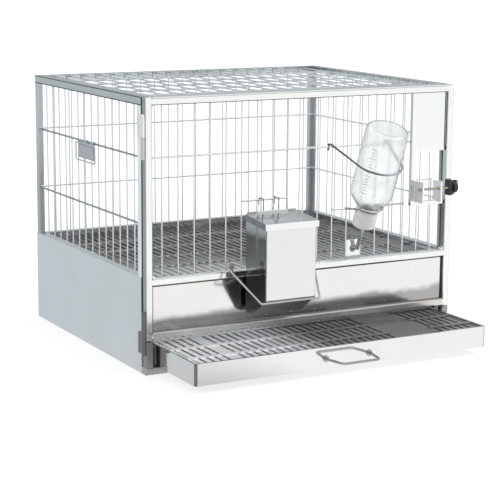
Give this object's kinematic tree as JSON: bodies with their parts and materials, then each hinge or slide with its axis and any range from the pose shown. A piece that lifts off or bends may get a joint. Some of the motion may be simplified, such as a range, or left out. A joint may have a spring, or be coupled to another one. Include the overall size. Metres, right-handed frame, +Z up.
{
  "type": "small animal cage",
  "caption": "Stainless steel rabbit cage with a full front door, wire walls, lift-out wire floor, drawer tray, hanging feeder and an inclined drinking bottle.",
  "frame": {"origin": "on the floor under the middle of the front sill, midway between the back of the door's frame and the front of the cage body", "axes": "+Z up, -Y out of the door side, +X to the right as seen from the door side"},
  "size_m": [0.6109, 0.6672, 0.455],
  "materials": {
    "frame_steel": "satin stainless angle and tube",
    "door_steel": "bright stainless square tube",
    "polished_sheet": "polished stainless sheet",
    "wire_steel": "bright drawn stainless wire, spot welded",
    "fitting_steel": "plain stainless fittings",
    "black_plastic": "black moulded plastic",
    "bottle_plastic": "clear blown plastic",
    "cap_plastic": "beige-grey moulded cap"
  },
  "bodies": {
    "cage_body": {"front_sill": "frame_steel", "rear_sill": "frame_steel", "base_rails": "frame_steel", "portal_posts": "frame_steel", "front_posts": "frame_steel", "rear_posts": "frame_steel", "side_top_rails": "frame_steel", "front_top_rail": "frame_steel", "rear_top_rail": "frame_steel", "left_skirt": "polished_sheet", "right_skirt": "polished_sheet", "rear_skirt": "polished_sheet", "left_wall_grid": "wire_steel", "right_wall_grid": "wire_steel", "rear_wall_grid": "wire_steel", "roof_grid": "wire_steel", "floor_ledges": "polished_sheet", "tray_runners": "polished_sheet", "hinge_body_halves": "fitting_steel", "hinge_pins": "fitting_steel", "latch_keeper": "fitting_steel"},
    "floor": {"floor_grid": "wire_steel"},
    "tray": {"tray_pan": "polished_sheet", "tray_ledges": "polished_sheet", "tray_grate": "polished_sheet", "tray_handle": "wire_steel", "tray_handle_bosses": "fitting_steel"},
    "door": {"hinge_door_halves": "fitting_steel", "door_hinge_stile": "door_steel", "door_latch_stile": "door_steel", "door_top_rail": "door_steel", "door_mid_rail": "door_steel", "door_lower_rail": "door_steel", "door_window_webs": "door_steel", "door_panel": "polished_sheet", "door_grid": "wire_steel", "door_corner_plate": "polished_sheet", "door_corner_bars": "door_steel", "latch_bearing": "black_plastic", "latch_eye": "fitting_steel", "bail_lugs": "fitting_steel", "bottle_cradle": "wire_steel", "bottle_retainer": "wire_steel", "sipper_plate": "polished_sheet"},
    "latch": {"latch_rod": "fitting_steel", "latch_tongue": "fitting_steel", "latch_knob": "black_plastic"},
    "feeder": {"feeder_hopper": "polished_sheet", "feeder_baffle": "polished_sheet", "feeder_hooks": "fitting_steel", "feeder_lid_pin": "fitting_steel"},
    "feeder_lid": {"feeder_lid": "polished_sheet"},
    "feeder_bail": {"feeder_bail": "wire_steel"},
    "bottle": {"bottle_shell": "bottle_plastic", "bottle_cap": "cap_plastic", "drinking_tube": "fitting_steel"},
    "card_holder": {"card_plate": "polished_sheet", "card_frame": "wire_steel"}
  },
  "joints": [
    {"name": "door_swing", "type": "hinge", "parent": "cage_body", "child": "door", "pos_m": [-0.3035, -0.01375, 0.23], "axis": [0, 0, -1], "range_deg": [0, 150]},
    {"name": "latch_turn", "type": "hinge", "parent": "door", "child": "latch", "pos_m": [0.26, -0.02595, 0.274], "axis": [-1, 0, 0], "range_deg": [0, 90]},
    {"name": "tray_slide", "type": "slide", "parent": "cage_body", "child": "tray", "axis": [0, -1, 0], "range_m": [-0.139, 0.25]},
    {"name": "floor_lift", "type": "slide", "parent": "cage_body", "child": "floor", "axis": [0, 0, 1], "range_m": [0, 0.08]},
    {"name": "feeder_lift", "type": "slide", "parent": "door", "child": "feeder", "axis": [0, 0, 1], "range_m": [0, 0.05]},
    {"name": "feeder_lid_swing", "type": "hinge", "parent": "feeder", "child": "feeder_lid", "pos_m": [-0.0698, -0.01995, 0.2567], "axis": [-1, 0, 0], "range_deg": [0, 95]},
    {"name": "feeder_bail_swing", "type": "hinge", "parent": "door", "child": "feeder_bail", "pos_m": [-0.0728, -0.02075, 0.17], "axis": [1, 0, 0], "range_deg": [0, 42]},
    {"name": "bottle_lift", "type": "slide", "parent": "door", "child": "bottle", "axis": [0, -0.3746, 0.9272], "range_m": [0, 0.15]},
    {"name": "card_holder_swing", "type": "hinge", "parent": "cage_body", "child": "card_holder", "pos_m": [-0.29525, 0.231, 0.357], "axis": [0, 1, 0], "range_deg": [0, 90]}
  ]
}
